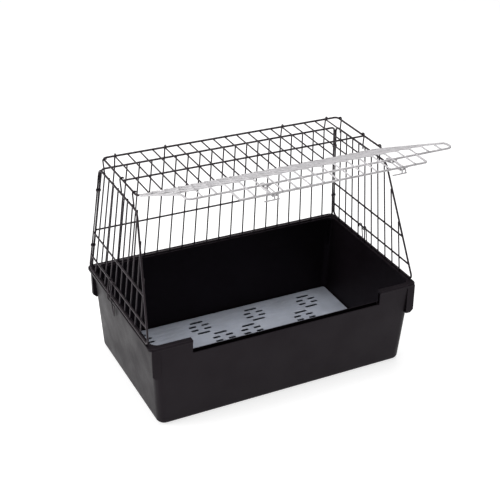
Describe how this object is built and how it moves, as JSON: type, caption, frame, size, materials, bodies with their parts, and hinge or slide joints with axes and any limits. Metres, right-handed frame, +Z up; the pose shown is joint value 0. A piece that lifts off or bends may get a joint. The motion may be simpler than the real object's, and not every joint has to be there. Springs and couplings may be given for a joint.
{
  "type": "wire dog crate",
  "caption": "Car travel crate for a dog: a deep moulded tub with a lift-out floor grid under a hooked-together cage of wire grilles, with a wire door that swings up from the roof.",
  "frame": {"origin": "under the middle of the whole crate as it stands with its door open, at the level it stands on", "axes": "+X along the crate to its right-hand end seen from the door side, +Y to the back, away from the door side, +Z up"},
  "size_m": [0.8274, 0.719, 0.7617],
  "materials": {
    "tub_plastic": "fine moulded grain, charcoal",
    "grid_plastic": "smooth grey moulding",
    "black_wire": "dark hammered enamel on welded wire",
    "silver_wire": "silver enamel on welded wire",
    "spring_steel": "bright zinc plated wire and strip"
  },
  "bodies": {
    "crate": {"tub": "tub_plastic", "roof_grille": "black_wire", "back_grille": "black_wire", "side_grille_right": "black_wire", "side_grille_left": "black_wire", "corner_tie_right_lower": "black_wire", "corner_tie_right_upper": "black_wire", "corner_tie_left_lower": "black_wire", "corner_tie_left_upper": "black_wire"},
    "floor_grid": {"floor_grid": "grid_plastic"},
    "door": {"door_grille": "silver_wire", "door_hinge_clip_1": "spring_steel", "door_hinge_clip_2": "spring_steel", "door_hinge_clip_3": "spring_steel", "door_hinge_clip_4": "spring_steel", "latch_guide_right_upper": "spring_steel", "latch_guide_right_lower": "spring_steel", "latch_guide_left_upper": "spring_steel", "latch_guide_left_lower": "spring_steel"},
    "latch_right": {"latch_right": "silver_wire"},
    "latch_left": {"latch_left": "silver_wire"},
    "side_clip_right": {"side_clip_right": "black_wire"},
    "side_clip_left": {"side_clip_left": "black_wire"}
  },
  "joints": [
    {"name": "door_swing", "type": "hinge", "parent": "crate", "child": "door", "pos_m": [0, 0.02395, 0.624], "axis": [1, 0, 0], "range_deg": [-115, 86.5]},
    {"name": "latch_right_slide", "type": "slide", "parent": "door", "child": "latch_right", "axis": [0, -1, 0], "range_m": [0, 0.044]},
    {"name": "latch_left_slide", "type": "slide", "parent": "door", "child": "latch_left", "axis": [0, -1, 0], "range_m": [0, 0.044]},
    {"name": "side_clip_right_swing", "type": "hinge", "parent": "crate", "child": "side_clip_right", "pos_m": [0.40125, 0.15855, 0.3068], "axis": [0, -1, 0], "range_deg": [0, 100]},
    {"name": "side_clip_left_swing", "type": "hinge", "parent": "crate", "child": "side_clip_left", "pos_m": [-0.40125, 0.15855, 0.3068], "axis": [0, 1, 0], "range_deg": [0, 100]},
    {"name": "floor_grid_lift", "type": "slide", "parent": "crate", "child": "floor_grid", "axis": [0, 0, 1], "range_m": [0, 0.2]}
  ]
}
